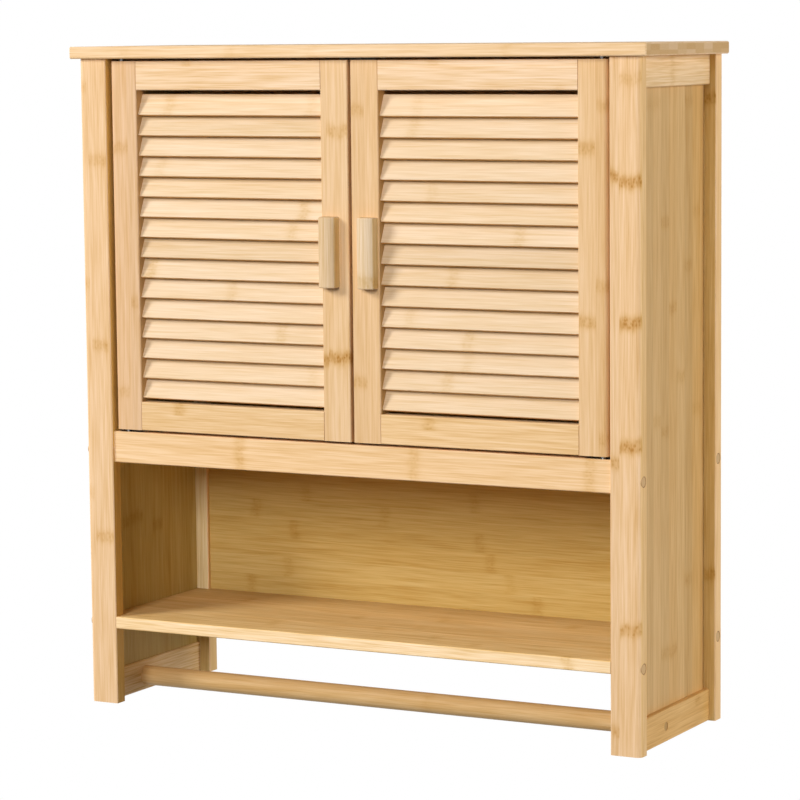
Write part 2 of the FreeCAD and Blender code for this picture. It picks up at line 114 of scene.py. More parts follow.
class CabinetFinish(bpy.types.PropertyGroup):
    """Colours and grain of the wood, the metal and the plastic."""

    frame_tone: tone("Frame", "Posts and rails of the carcase", 232, 191, 142)
    door_tone: tone("Doors", "Stiles and rails of the doors", 232, 193, 145)
    slat_tone: tone("Slats", "Louvre slats", 233, 203, 164)
    board_tone: tone("Boards", "Top panel and shelves", 236, 199, 150)
    panel_tone: tone("Panels", "Thin side and back panels", 220, 178, 121)
    handle_tone: tone("Handles", "Door handles", 226, 196, 155)
    plug_tone: tone("Plugs", "Plugs over the screws", 206, 166, 112)
    halo_depth: share("Mark halo", "How much browner the wood is round a growth mark", 0.42)
    speck_depth: share("Growth marks", "How much browner the specks are where the cane had a joint", 0.72)
    steel_tone: tone("Steel", "Pins, plates and screws", 196, 196, 194)
    plastic_tone: tone("Catch", "Housing of the magnetic catch", 226, 222, 212)
    magnet_tone: tone("Magnet", "Ferrite of the catch", 46, 45, 46)
    lacquer_roughness: share("Lacquer roughness", "Roughness of the clear lacquer", 0.42)
    fibre_width: length("Fibre width", "Breadth of a single fibre streak", 1.4 * MM)
    fibre_run: length("Fibre run", "Length of a single fibre streak", 45 * MM)


class CabinetHardware(bpy.types.PropertyGroup):
    """Sizes of the small fasteners."""

    screw_radius: length("Screw head", "Radius of a pan head", 3.2 * MM)
    screw_rise: length("Screw rise", "Height of a pan head", 1.8 * MM)
    flush_radius: length("Flush head", "Radius of a countersunk head", 2.4 * MM)
    flush_rise: length("Flush rise", "How far a countersunk head stands out", 0.2 * MM)
    recess_width: share("Recess width", "Width of the cross recess as a share of the head's radius", 0.34)
    recess_depth: share("Recess depth", "Depth of the cross recess as a share of the head's rise", 0.7)
    handle_screw_spacing: length("Handle screws", "Distance between a handle's two screws", 32 * MM)


class CabinetStage(bpy.types.PropertyGroup):
    """Camera, lamps and floor."""

    camera_place: FloatVectorProperty(
        name="Camera",
        description="Where the camera stands",
        subtype="TRANSLATION",
        unit="LENGTH",
        default=(1.4805, -2.8866, 0.0453),
    )
    camera_azimuth: FloatProperty(
        name="Azimuth",
        description="Turn of the camera about the upright, from a straight front view",
        subtype="ANGLE",
        default=math.radians(27.917),
    )
    camera_pitch: FloatProperty(
        name="Pitch",
        description="Tilt of the view above level",
        subtype="ANGLE",
        default=math.radians(-6.550),
    )
    camera_roll: FloatProperty(
        name="Roll",
        description="Turn about the line of sight",
        subtype="ANGLE",
        default=math.radians(-0.561),
    )
    camera_lens: FloatProperty(
        name="Lens", description="Focal length on the sensor", subtype="DISTANCE_CAMERA", default=144.97
    )
    camera_sensor: FloatProperty(
        name="Sensor", description="Width of the sensor", subtype="DISTANCE_CAMERA", default=36
    )
    surround_level: share("Surround", "Light from all round, as a share of full white", 0.07)
    front_level: share("Front", "Light of the front lamp on a white face that looks at it", 0.51)
    key_level: share("Key", "Light of the key lamp on a white face that looks at it", 0.625)
    right_level: share("Right", "Light of the right lamp on a white face that looks at it", 0.63)
    left_level: share("Left", "Light of the left lamp on a white face that looks at it", 0.50)
    back_level: share("Back", "Light of the back lamp on a white face that looks at it", 0.62)
    lamp_distance: length("Lamp distance", "From the cabinet's middle to each lamp", 5.0)
    front_size: length("Front lamp", "Side of the square front lamp", 1.4)
    key_size: length("Key lamp", "Side of the square key lamp", 1.6)
    lamp_size: length("Other lamps", "Side of each other square lamp", 2.5)
    floor_drop: length("Floor drop", "From the cabinet's foot down to the floor", 1.6)
    floor_radius: length("Floor radius", "Radius of the floor", 4.5)


class Wire:
    """An output socket whose arithmetic adds Math nodes."""

    def __init__(self, bench, socket):
        self.bench = bench
        self.socket = socket

    def maths(self, operation, *operands):
        return self.bench.maths(operation, self, *operands)

    def __add__(self, other):
        return self.maths("ADD", other)

    def __radd__(self, other):
        return self.bench.maths("ADD", other, self)

    def __sub__(self, other):
        return self.maths("SUBTRACT", other)

    def __rsub__(self, other):
        return self.bench.maths("SUBTRACT", other, self)

    def __mul__(self, other):
        return self.maths("MULTIPLY", other)

    def __rmul__(self, other):
        return self.bench.maths("MULTIPLY", other, self)

    def __truediv__(self, other):
        return self.maths("DIVIDE", other)

    def __rtruediv__(self, other):
        return self.bench.maths("DIVIDE", other, self)

    def __abs__(self):
        return self.maths("ABSOLUTE")


class Bench:
    """A node tree while it is put together, for a material, the surround or a set of fasteners."""

    def __init__(self, tree):
        self.tree = tree

    def add(self, kind, settings=None, inputs=None, output=0):
        """Makes a node: its settings first, then its sockets' values or links. Gives one output back."""
        made = self.tree.nodes.new(kind)
        for name, value in (settings or {}).items():
            setattr(made, name, value)
        for key, value in (inputs or {}).items():
            if isinstance(value, Wire):
                self.tree.links.new(value.socket, made.inputs[key])
            else:
                made.inputs[key].default_value = value
        return Wire(self, made.outputs[output]) if made.outputs else made

    def maths(self, operation, *operands):
        return self.add("ShaderNodeMath", {"operation": operation}, dict(enumerate(operands)))

    def least(self, first, second):
        return self.maths("MINIMUM", first, second)

    def most(self, first, second):
        return self.maths("MAXIMUM", first, second)

    def eased(self, value, low, high):
        """Nothing up to low, one from high, and a soft step between them."""
        return self.add(
            "ShaderNodeMapRange",
            {"interpolation_type": "SMOOTHSTEP"},
            {"Value": value, "From Min": low, "From Max": high},
        )

    def between(self, value, low, high, soft):
        """One between low and high, and a soft step down to nothing outside them."""
        outside = abs(value - (low + high) / 2) - (high - low) / 2
        return 1 - self.eased(outside, 0.0, soft)

    def vector(self, x, y, z):
        return self.add("ShaderNodeCombineXYZ", None, {0: x, 1: y, 2: z})

    def split(self, vector):
        """The three parts of a vector."""
        first = self.add("ShaderNodeSeparateXYZ", None, {0: vector})
        return [Wire(self, output) for output in first.socket.node.outputs]

    def place(self):
        """The three parts of a point's place."""
        return self.split(self.add("ShaderNodeTexCoord", None, None, "Object"))

    def facing(self):
        """The three parts of the way that the surface faces."""
        return self.split(self.add("ShaderNodeTexCoord", None, None, "Normal"))

    def chance(self, value):
        """A steady random number for each whole value."""
        return self.add("ShaderNodeTexWhiteNoise", {"noise_dimensions": "1D"}, {"W": value})

    def cloud(self, vector, detail=2.0):
        """Soft noise around one half."""
        return self.add("ShaderNodeTexNoise", None, {"Vector": vector, "Scale": 1.0, "Detail": detail})

    def cells(self, vector):
        """Scattered spots: the distance from the nearest one, and its own random colour."""
        distance = self.add("ShaderNodeTexVoronoi", None, {"Vector": vector, "Scale": 1.0}, "Distance")
        return distance, Wire(self, distance.socket.node.outputs["Color"])

    def blend(self, amount, first, second):
        """A colour between two."""
        settings = {"data_type": "RGBA"}
        return self.add("ShaderNodeMix", settings, {0: amount, 6: opaque(first), 7: opaque(second)}, 2)


def opaque(colour):
    """A colour with its alpha, as colour sockets want it."""
    return colour if isinstance(colour, Wire) else (*colour, 1.0)


def new_finish(name):
    """An empty material and its bench."""
    material = bpy.data.materials.new(name)
    material.use_nodes = True
    material.node_tree.nodes.clear()
    return material, Bench(material.node_tree)


def close_finish(bench, sockets):
    """Ends a material in a Principled shader with those values and links."""
    shader = bench.add("ShaderNodeBsdfPrincipled", None, sockets)
    bench.add("ShaderNodeOutputMaterial", None, {"Surface": shader})


# How fast red, green and blue go as the wood's gold deepens, and the deepest that it gets.
GOLD_FADE = (0.32, 0.52, 1.0)
DEEPEST_GOLD = 0.03


def gilded(bench, wood_tone, depth, light):
    """The wood's colour where its gold is deeper or paler.

    A depth below one is browner, because blue fades fastest.
    """
    depth = bench.most(depth, DEEPEST_GOLD)
    parts = []
    for part, fade in zip(wood_tone, GOLD_FADE):
        parts.append(part * light * bench.maths("POWER", depth, fade))
    return bench.add("ShaderNodeCombineColor", None, dict(enumerate(parts)))


@dataclass(frozen=True)
class StainAndPaintedLight:
    """A stain on the faces that look one way along an axis, as shares of red, green and blue; most of them
    are painted light and shade.

    It may keep to a stretch along the grain, from low to high, in millimetres.
    """

    axis: int
    way: int
    cast: tuple
    low: float = -1000.0
    high: float = 1000.0


@dataclass(frozen=True)
class Grain:
    """How the wood of one piece lies: its grain, its glued strips and the joints that the cane once had.

    Joints are given as the place along the grain and the two ends across it, in millimetres, or as the
    number of a slat for both ends, and the strength of the mark. Spacing adds joints at random, in metres.
    Shades are darker strips: their two ends across the grain, how softly they end, how much dimmer and
    how much browner; some of them are painted shade. The cast tints the whole piece, as shares of red,
    green and blue, and is painted light on the doors' top rails; faces are the stains and the painted
    light and shade of single faces.
    """

    along: int
    across: int
    strip: float
    start: float = 0.0
    ply: float = 1.0
    joints: tuple = ()
    shades: tuple = ()
    spacing: float = 0.0
    strength: float = 1.0
    contrast: float = 1.0
    patchwork: float = 1.0
    gloss: float = 1.0
    cast: tuple = (1.0, 1.0, 1.0)
    faces: tuple = ()


# Offsets that keep a strip's random draws apart from each other, and its streaks from its neighbours'.
GOLD_DRAW = 0.5
LIGHT_DRAW = 0.75
JOINT_DRAW = 0.25
STRENGTH_DRAW = 0.3
STRIP_SHIFT = 50
SEED_SHIFT = 3.7
# How much of the gold follows the streaks of three sizes and the strips, and how much browner a slat
# is painted where the next one covers and shades it, as painted shade.
FINE_GOLD = 1.15
MIDDLING_GOLD = 0.7
BROAD_GOLD = 0.4
STRIP_GOLD = 0.22
COVERED_SHADE = 0.4
# How far the strips differ in lightness, and how light the cut ends are.
STRIP_LIGHT = 0.06
END_LIGHT = 0.8
# How squarely a face looks along an axis where it starts to count as a cut end or to take a stain, and
# where it does so fully, and how softly a stretch of stain ends, in millimetres.
END_TURN = (0.75, 0.92)
STAIN_TURN = (0.7, 0.9)
STAIN_SOFT = 3.0
# The lacquered skin: how deep its fibres and specks lie, how rough they make it, and its shine.
SKIN_STRENGTH = 0.2
SKIN_DEPTH = 0.4 * MM
SPECK_DENT = 0.3
FIBRE_ROUGH = 0.2
SPECK_ROUGH = 0.12
END_ROUGH = 0.15
LACQUER_SHINE = 0.10


def bamboo(name, wood_tone, grain, seed, slats=None):
    """Lacquered bamboo: glued strips of slightly different tone, fibre streaks and growth marks, with
    painted light and shade on some faces, strips and slats.
    """
    finish = bpy.context.scene.cabinet_finish
    material, bench = new_finish(name)
    parts = bench.place()
    facing = bench.facing()
    along = parts[grain.along]
    deep = parts[X + Y + Z - grain.along - grain.across]
    if slats is None:
        wide = parts[grain.across]
        lane = wide / MM
        strip = bench.maths("FLOOR", (wide - grain.start) / grain.strip)
    else:
        wide, lane, covered_shade = slats(bench, parts)
        strip = lane
    apart = bench.chance(strip + seed) * STRIP_SHIFT

    def streaks(longer, wider):
        """Streaks that are so many times longer and wider than a single fibre."""
        run = finish.fibre_run * longer
        width = finish.fibre_width * wider
        spot = bench.vector(along / run + apart, wide / width + seed * SEED_SHIFT, deep / width + apart)
        return bench.cloud(spot) - 0.5

    fine = streaks(1, 1)
    middling = streaks(2, 2.5)
    broad = streaks(4, 7)
    strip_gold = bench.chance(strip + seed + GOLD_DRAW) - 0.5
    strip_light = bench.chance(strip + seed + LIGHT_DRAW) - 0.5
    depth = 1 + (fine * FINE_GOLD + middling * MIDDLING_GOLD + broad * BROAD_GOLD) * grain.contrast
    depth = depth + strip_gold * (STRIP_GOLD * grain.patchwork)
    light = 1 + strip_light * (STRIP_LIGHT * grain.patchwork)
    # Painted shade: each slat is browner where the slat above covers and shades it.
    if slats is not None:
        depth = depth * (1 - covered_shade * COVERED_SHADE)
    for low, high, soft, dimmer, browner in grain.shades:
        inside = bench.between(lane, low, high, soft)
        light = light * (1 - inside * dimmer)
        depth = depth * (1 - inside * browner)

    speckle, halo = growth_marks(bench, grain, seed, along, wide, deep, lane, strip)
    depth = depth * (1 - halo * finish.halo_depth) * (1 - speckle * finish.speck_depth)

    end = bench.eased(abs(facing[grain.along]), *END_TURN)
    depth = depth + end * (end_gold(bench, grain, seed, wide, deep, strip) - depth)
    light = light + end * (END_LIGHT - light)
    # Stains of single faces, and painted light and shade on faces that get more or less light than the
    # rest.
    for face in grain.faces:
        turned = bench.eased(facing[face.axis] * face.way, *STAIN_TURN)
        turned = turned * bench.between(along / MM, face.low, face.high, STAIN_SOFT)
        casts = [1 + turned * (share_of_part - 1) for share_of_part in face.cast]
        wood_tone = stain_and_light_tint(wood_tone, casts)

    height = fine * (1 - end) - speckle * SPECK_DENT
    skin = {"Strength": SKIN_STRENGTH, "Distance": SKIN_DEPTH, "Height": height}
    roughness = finish.lacquer_roughness / grain.gloss
    close_finish(
        bench,
        {
            "Base Color": gilded(bench, wood_tone, depth, light),
            "Roughness": roughness + fine * FIBRE_ROUGH + speckle * SPECK_ROUGH + end * END_ROUGH,
            "Specular IOR Level": LACQUER_SHINE * grain.gloss,
            "Normal": bench.add("ShaderNodeBump", None, skin),
        },
    )
    return material


def end_gold(bench, grain, seed, wide, deep, strip):
    """The gold of a cut end: blocks of different tone, with darker pores."""
    deepest = 0.54
    block_spread = 0.38
    pore_depth = 0.14
    ply_step = 17
    ply = bench.maths("FLOOR", deep / grain.ply)
    block_tone = bench.chance(strip + ply * ply_step + seed)
    pores = bench.eased(bench.cloud(bench.vector(wide / MM, deep / MM, seed), 1.0), 0.5, 0.66)
    return deepest + block_tone * block_spread - pores * pore_depth


def growth_marks(bench, grain, seed, along, wide, deep, lane, strip):
    """Where the cane had its joints: a cluster of specks, and the browner wood round it."""
    reach = 14 * MM
    sway = 10 * MM
    sway_width = 7 * MM
    sway_depth = 9 * MM
    strip_step = 0.37
    lane_fall = 4
    joint_spread = 7
    joint_strength = 0.7
    speck_run = 3.6 * MM
    speck_width = 2.2 * MM
    smear_run = 9 * MM
    smear_width = 2.5 * MM
    plain_core = 0.3
    plain_halo = 0.6
    smeared_halo = 0.8
    spot = bench.vector(wide / sway_width + seed, deep / sway_depth, strip * strip_step)
    level = along + (bench.cloud(spot, 1.0) - 0.5) * sway
    core = 0.0
    halo = 0.0

    def add_joint(near, strength):
        nonlocal core, halo
        core = bench.most(bench.eased(near, 0.45, 0.85) * strength, core)
        halo = bench.most(bench.eased(near, 0.1, 0.95) * strength, halo)

    for place, low, high, strength in grain.joints:
        outside = bench.most(abs(lane - (low + high) / 2) - (high - low) / 2, 0.0)
        add_joint(1 - abs(level - place * MM) / reach - outside * lane_fall, strength)
    if grain.spacing:
        shift = bench.chance(strip + seed + JOINT_DRAW) * joint_spread
        step = bench.maths("FRACT", level / grain.spacing + shift)
        strength = bench.chance(strip + seed + STRENGTH_DRAW) * joint_strength
        add_joint(1 - abs(step - 0.5) * (grain.spacing / reach), strength)
    spot = bench.vector(along / speck_run, wide / speck_width + seed, deep / speck_width)
    speck_distance, speck_colour = bench.cells(spot)
    kept = bench.eased(bench.split(speck_colour)[X], 0.2, 0.5)
    specks = (1 - bench.eased(speck_distance, 0.05, 0.8)) * kept
    spot = bench.vector(along / smear_run, wide / smear_width + seed, deep / smear_width)
    smear = bench.eased(bench.cloud(spot, 1.0), 0.3, 0.7)
    core = core * (plain_core + specks * (1 - plain_core))
    halo = halo * (plain_halo + smear * smeared_halo)
    return core * grain.strength, halo * grain.strength


def steel(name, brightness):
    """Zinc-plated steel with fine rolling lines, at full brightness or darker."""
    line_run = 8 * MM
    line_width = 0.4 * MM
    cloud_size = 5 * MM
    darkest = 0.82
    brightest = 1.05
    base_rough = 0.3
    line_rough = 0.2
    dull_rough = 0.15
    colour = shaded(bpy.context.scene.cabinet_finish.steel_tone, brightness)
    material, bench = new_finish(name)
    x, y, z = bench.place()
    lines = bench.cloud(bench.vector(x / line_run, y / line_width, z / line_width)) - 0.5
    dull = bench.cloud(bench.vector(x / cloud_size, y / cloud_size, z / cloud_size)) - 0.5
    amount = 0.5 + lines + dull
    close_finish(
        bench,
        {
            "Base Color": bench.blend(amount, shaded(colour, darkest), shaded(colour, brightest)),
            "Metallic": 1.0,
            "Roughness": base_rough + lines * line_rough + dull * dull_rough,
        },
    )
    return material


def moulded(name, colour, roughness, grain_size):
    """A moulded or pressed surface with a faint mottle and an orange-peel skin."""
    skin_strength = 0.3
    skin_depth = 0.1 * MM
    darkest = 0.9
    brightest = 1.04
    rough_spread = 0.2
    material, bench = new_finish(name)
    mottle = bench.cloud(bench.vector(*(part / grain_size for part in bench.place())))
    skin = {"Strength": skin_strength, "Distance": skin_depth, "Height": mottle}
    close_finish(
        bench,
        {
            "Base Color": bench.blend(mottle, shaded(colour, darkest), shaded(colour, brightest)),
            "Roughness": roughness + (mottle - 0.5) * rough_spread,
            "Normal": bench.add("ShaderNodeBump", None, skin),
        },
    )
    return material


def plug_wood(name, colour, centres, radius):
    """End grain of a round plug, with a dark line where it meets its hole."""
    rim_start = radius * 0.80
    rim_end = radius * 0.97
    rim_browner = 0.85
    rim_dimmer = 0.25
    fibre_width = 1.5 * MM
    fibre_run = 8 * MM
    deepest = 0.7
    fibre_spread = 0.5
    base_rough = 0.5
    rough_spread = 0.2
    material, bench = new_finish(name)
    x, y, z = bench.place()
    away = 1.0
    for centre_y, centre_z in centres:
        square = (y - centre_y) * (y - centre_y) + (z - centre_z) * (z - centre_z)
        away = bench.least(bench.maths("SQRT", square), away)
    face = bench.eased(abs(bench.facing()[X]), 0.5, 0.8)
    rim = bench.eased(away, rim_start, rim_end) * face
    fibres = bench.cloud(bench.vector(x / MM, y / fibre_width, z / fibre_run))
    depth = (deepest + fibres * fibre_spread) * (1 - rim * rim_browner)
    close_finish(
        bench,
        {
            "Base Color": gilded(bench, colour, depth, 1 - rim * rim_dimmer),
            "Roughness": base_rough + (fibres - 0.5) * rough_spread,
        },
    )
    return material


def dress(node, material):
    """Gives a node of the model its finish."""
    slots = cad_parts[node].data.materials
    slots.clear()
    slots.append(material)


def middle(node):
    """The middle of a node's box."""
    low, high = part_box(node)
    return (low + high) / 2


def finish_pieces(grains, wood_tone, seed, **options):
    """Finishes each node with its own bamboo, and gives no two of them the same streaks."""
    for number, (node, grain) in enumerate(grains.items(), seed):
        dress(node, bamboo(node, stain_and_light_tint(wood_tone, grain.cast), grain, number, **options))


class CABINET_OT_carcase(bpy.types.Operator):
    """Finish the posts and rails of the carcase"""

    bl_idname = "cabinet.carcase"
    bl_label = "Carcase"

    def execute(self, context):
        right_post = Grain(Z, X, strip=21 * MM, start=282 * MM, ply=7 * MM)
        left_post = replace(right_post, start=-294 * MM)
        lengthways = Grain(X, Z, strip=33 * MM, ply=7 * MM)
        sideways = Grain(Y, Z, strip=29 * MM, ply=6 * MM, contrast=1.3, spacing=0.3, strength=0.5)
        left_front = (
            (-8, -303, -295, 0.3),
            (-80, -294, -273, 0.45),
            (-203, -303, -295, 0.3),
            (-265, -294, -275, 0.5),
            (-414, -303, -295, 0.3),
            (-458, -294, -273, 0.5),
        )
        right_front = (
            (0, 282, 303, 0.35),
            (-88, 273, 281.5, 0.8),
            (-94, 282, 303, 1.0),
            (-223, 282, 303, 1.0),
            (-337, 282, 303, 1.0),
            (-352, 273, 281.5, 0.7),
            (-508, 282, 303, 0.75),
            (-604, 273, 281.5, 0.6),
        )
        right_back = ((-23, 282, 303, 0.8), (-484, 282, 303, 0.7))
        # Painted light and shade on the left front post's inner face: lighter and browner in the gap by
        # the door, darker and browner in the bay below.
        left_front_painted_light = (
            StainAndPaintedLight(X, 1, (1.08, 1.05, 0.56), low=-365),
            StainAndPaintedLight(X, 1, (0.77, 0.65, 0.29), high=-370),
        )
        # Painted shade: the right front post's side face is browner.
        right_front_painted_shade = (StainAndPaintedLight(X, 1, (1.0, 1.0, 0.87)),)
        # Painted light and shade on the left back post: its front face paler in the bay and darker below
        # the shelf, its inner face browner.
        left_back_painted_light = (
            StainAndPaintedLight(Y, -1, (0.99, 1.22, 1.34), low=-545),
            StainAndPaintedLight(Y, -1, (0.74, 0.82, 0.68), high=-550),
            StainAndPaintedLight(X, 1, (0.95, 0.94, 0.72)),
        )
        # Painted shade and light on the right back post: its front face in the recess behind the side
        # panel darker, its outer face lighter.
        right_back_painted_light = (StainAndPaintedLight(Y, -1, (0.90, 0.94, 0.66)), StainAndPaintedLight(X, 1, (1.09, 1.05, 0.88)))
        grains = {
            "left_front_post": replace(left_post, joints=left_front, faces=left_front_painted_light),
            "right_front_post": replace(right_post, joints=right_front, faces=right_front_painted_shade),
            "left_back_post": replace(left_post, spacing=0.29, strength=0.6, faces=left_back_painted_light),
            "right_back_post": replace(right_post, joints=right_back, faces=right_back_painted_light),
            "left_top_side_rail": sideways,
            "right_top_side_rail": replace(
                sideways, spacing=0, joints=((-104, -9, 20, 0.5),), cast=(1.05, 1.11, 1.10)
            ),
            "left_bottom_side_rail": replace(sideways, contrast=1.8, cast=(0.97, 1.0, 0.92)),
            "right_bottom_side_rail": replace(
                sideways, spacing=0, joints=((-42, -607, -598, 0.9),), cast=(0.90, 0.81, 0.52)
            ),
            "left_shelf_cleat": sideways,
            "right_shelf_cleat": sideways,
            "front_rail": replace(
                lengthways,
                joints=((-127, -383, -351, 0.4), (66, -383, -351, 0.3), (250, -383, -351, 0.35)),
                cast=(1.05, 1.06, 1.04),
            ),
            "hanging_rail": replace(lengthways, spacing=0.31, strength=0.6),
            "towel_bar": replace(lengthways, spacing=0.36, strength=0.4, cast=(0.86, 0.84, 0.70)),
            "top_pegs": lengthways,
        }
        finish_pieces(grains, context.scene.cabinet_finish.frame_tone, seed=1)
        return {"FINISHED"}


class CABINET_OT_boards(bpy.types.Operator):
    """Finish the top panel, the shelves and the floor"""

    bl_idname = "cabinet.boards"
    bl_label = "Boards"

    def execute(self, context):
        board = Grain(X, Y, strip=21 * MM, ply=6.5 * MM, spacing=0.37, strength=0.4, gloss=0.7)
        top_joints = ((-245, -200, -194, 0.3), (-125, -200, -194, 0.35), (172, -200, -194, 0.4))
        top_ends = tuple(StainAndPaintedLight(X, way, (1.09, 1.12, 1.20)) for way in (-1, 1))
        # The shelf's back strips are darker, and a soft painted shade darkens it further towards the back
        # panel.
        shelf_strips_and_shade = ((-127, 0, 8, 0.08, 0.075), (-10, 0, 60, 0.25, 0.15))
        shelf_joints = ((-111, -170, -145, 0.4), (228, -194, -188, 0.7))
        grains = {
            "top_panel": replace(
                board, ply=12.5 * MM, joints=top_joints, cast=(1.04, 1.06, 1.14), faces=top_ends
            ),
            "open_shelf": replace(
                board,
                joints=shelf_joints,
                shades=shelf_strips_and_shade,
                strength=0.6,
                contrast=1.4,
                cast=(1.08, 1.08, 0.91),
                # Painted light and shade: the front edge paler, the top face darker.
                faces=(StainAndPaintedLight(Y, -1, (1.05, 1.11, 1.40)), StainAndPaintedLight(Z, 1, (0.95, 0.94, 0.88))),
            ),
            "cabinet_floor": board,
            "inner_shelf": board,
        }
        finish_pieces(grains, context.scene.cabinet_finish.board_tone, seed=31)
        return {"FINISHED"}


class CABINET_OT_panels(bpy.types.Operator):
    """Finish the thin side and back panels"""

    bl_idname = "cabinet.panels"
    bl_label = "Panels"

    def execute(self, context):
        outer = (0.95, 0.93, 0.83)
        # Painted shade: the side panels' faces inside the cabinet are less red and greener, as they are in
        # the dimmer light in there.
        inner = (0.86, 1.07, 1.01)
        upright = Grain(
            Z, Y, strip=19 * MM, start=-118 * MM, strength=0.6, contrast=1.1, patchwork=1.5, cast=outer
        )
        # The back panels' front faces, inside the cabinet, take a painted shade.
        lengthways = Grain(
            X, Z, strip=20 * MM, strength=0.8, cast=outer, faces=(StainAndPaintedLight(Y, -1, (0.91, 1.0, 0.86)),)
        )
        right_side = (
            (-25, -156, -118, 0.3),
            (-25, -61, -42, 0.4),
            (-130, -42, -23, 0.3),
            (-135, -118, -99, 0.6),
            (-180, -61, -42, 0.6),
            (-217, -99, -80, 0.6),
            (-285, -80, -61, 0.6),
            (-320, -42, -23, 0.4),
            (-322, -137, -118, 0.4),
            (-333, -118, -99, 0.5),
            (-483, -61, -42, 0.6),
            (-545, -118, -80, 0.6),
        )
        right_shades = (
            # The front strip is darkened as painted shade of the front post; the other strips are the
            # panel's own tones.
            (-156, -137, 1, 0.09, 0.05),
            (-118, -99, 1, 0.05, 0.04),
            (-61, -42, 1, 0.06, 0.0),
            (-42, -23, 1, -0.05, 0.08),
        )
        left_side = (
            (-120, -137, -99, 0.5),
            (-250, -80, -42, 0.5),
            (-448, -156, -118, 0.7),
            (-460, -99, -80, 0.7),
        )
        lower_back = (
            (-222, -540, -520, 0.7),
            (110, -540, -520, 0.6),
            (-177, -520, -500, 0.6),
            (80, -520, -500, 0.5),
            (58, -500, -480, 0.7),
            (-170, -480, -460, 0.7),
            (45, -480, -460, 0.6),
            (-215, -460, -440, 0.7),
            (-63, -460, -440, 0.6),
            (-155, -440, -420, 0.5),
            (40, -440, -420, 0.5),
        )
        # Painted shade on the left side panel's inner face: tinted above the shelf, darker and browner
        # below it.
        left_painted_shading = (StainAndPaintedLight(X, 1, inner, low=-545), StainAndPaintedLight(X, 1, (0.73, 0.78, 0.60), high=-550))
        grains = {
            "left_side_panel": replace(upright, joints=left_side, faces=left_painted_shading),
            "right_side_panel": replace(
                upright, joints=right_side, shades=right_shades, faces=(StainAndPaintedLight(X, -1, inner),)
            ),
            "upper_back_panel": replace(lengthways, spacing=0.27),
            "lower_back_panel": replace(lengthways, joints=lower_back, strength=0.5),
        }
        finish_pieces(grains, context.scene.cabinet_finish.panel_tone, seed=41)
        return {"FINISHED"}


def slat_rule(node):
    """A rule for a door's slats, which lean back one above the other.

    It gives the place across a face, the slat's number from below, and where the next slat covers it,
    which is where painted shade goes.
    """
    top_number = 14
    tilt = math.radians(24.5)
    width = 22.3 * MM
    thickness = 3.6 * MM
    cover_start = width * 0.72
    cover_end = width * 0.95
    lean = math.sin(tilt)
    rise = math.cos(tilt)
    low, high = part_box(node)
    pitch = (high.z - low.z - width * rise - thickness * lean) / top_number
    step = pitch * lean

    def rule(bench, parts):
        y = parts[Y] - low.y
        z = parts[Z] - low.z - thickness * lean
        across = y * lean + z * rise
        through = z * lean - y * rise
        number = bench.maths("FLOOR", (through + (step + thickness) / 2) / step)
        from_edge = across - number * (pitch * rise)
        below_top = bench.maths("LESS_THAN", number, top_number - 0.5)
        # Where the slat above covers this one: the mask of the painted shade.
        covered_shade = bench.eased(from_edge, cover_start, cover_end) * below_top
        return across, number, covered_shade

    return rule


